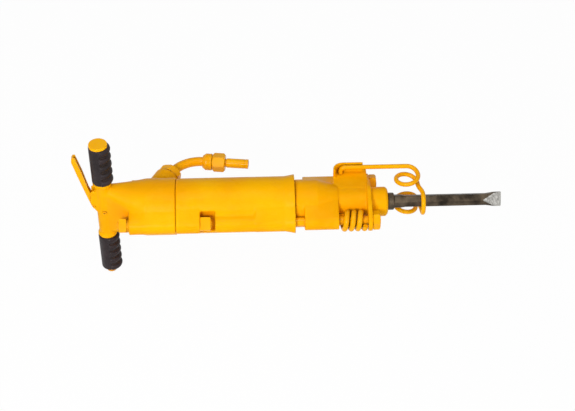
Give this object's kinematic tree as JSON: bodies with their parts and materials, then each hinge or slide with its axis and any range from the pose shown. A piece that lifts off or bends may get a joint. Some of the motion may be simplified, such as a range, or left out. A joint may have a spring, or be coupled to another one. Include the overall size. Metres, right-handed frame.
{
  "type": "pneumatic breaker",
  "caption": "Hand-held pneumatic breaker with a cross handle, throttle lever, swivel air inlet, through-bolted barrel, sprung front head, wire tool retainer and flat chisel.",
  "frame": {"origin": "centre of the nose's end face, at the mouth of the tool-steel socket", "axes": "+X along the tool towards the chisel's edge, +Z along the handle bar to the upper grip, +Y to the side of the air inlet"},
  "size_m": [0.9748, 0.2644, 0.3835],
  "materials": {
    "yellow_paint": "gloss",
    "grip_rubber": "satin",
    "seal_fibre": "matte",
    "forged_steel": "satin",
    "machined_steel": "satin"
  },
  "bodies": {
    "housing": {"backhead": "yellow_paint", "upper_cap_bolt": "yellow_paint", "lower_washer": "yellow_paint", "lower_end_bolt": "yellow_paint", "oil_plug": "yellow_paint", "lever_pin": "yellow_paint", "inlet_nut": "yellow_paint", "cylinder": "yellow_paint", "backhead_bolts": "yellow_paint", "backhead_nuts": "yellow_paint", "backhead_washers": "yellow_paint", "pocket_nuts": "yellow_paint", "front_rods": "yellow_paint", "front_nuts": "yellow_paint", "rod_spring_near": "yellow_paint", "rod_spring_far": "yellow_paint", "front_head": "yellow_paint", "upper_grip": "grip_rubber", "lower_grip": "grip_rubber", "inlet_seal": "seal_fibre", "valve_chest": "machined_steel", "anvil_guide": "machined_steel", "nose_bushing": "machined_steel"},
    "lever": {"throttle_lever": "yellow_paint"},
    "throttle": {"throttle_valve": "machined_steel", "throttle_spring": "machined_steel"},
    "gooseneck": {"inlet_pipe": "yellow_paint", "coupling_body": "yellow_paint", "coupling_nut": "yellow_paint", "hose_tail": "yellow_paint"},
    "distributor": {"valve_plate": "machined_steel"},
    "hammer": {"piston": "machined_steel"},
    "striker": {"anvil": "machined_steel"},
    "tool": {"chisel": "forged_steel"},
    "retainer": {"retainer_spring": "yellow_paint"}
  },
  "joints": [
    {"name": "throttle_lever_pivot", "type": "hinge", "parent": "housing", "child": "lever", "pos_m": [-0.671, 0, 0.014], "axis": [0, 1, 0], "range_deg": [0, 10], "stiffness_Nm_per_rad": 6, "springref_deg": -8.59},
    {"name": "throttle_valve_slide", "type": "slide", "parent": "housing", "child": "throttle", "axis": [1, 0, 0], "range_m": [0, 0.0032]},
    {"name": "inlet_swivel", "type": "hinge", "parent": "housing", "child": "gooseneck", "pos_m": [-0.509, 0.0984, 0], "axis": [0.454, 0.891, 0], "continuous": true},
    {"name": "valve_plate_slide", "type": "slide", "parent": "housing", "child": "distributor", "axis": [1, 0, 0], "range_m": [0, 0.005]},
    {"name": "piston_stroke", "type": "slide", "parent": "housing", "child": "hammer", "axis": [1, 0, 0], "range_m": [-0.095, 0]},
    {"name": "chisel_slide", "type": "slide", "parent": "housing", "child": "tool", "axis": [1, 0, 0], "range_m": [0, 0.04]},
    {"name": "anvil_slide", "type": "slide", "parent": "housing", "child": "striker", "axis": [1, 0, 0], "range_m": [0, 0.012]},
    {"name": "retainer_pivot", "type": "hinge", "parent": "housing", "child": "retainer", "pos_m": [-0.105, 0.059, 0], "axis": [0, 0, 1], "range_deg": [-25, 0]}
  ],
  "couplings": [
    {"joint": "throttle_valve_slide", "follows": "throttle_lever_pivot", "m_per_rad": 0.018},
    {"joint": "anvil_slide", "follows": "chisel_slide", "ratio": 0.2999}
  ]
}
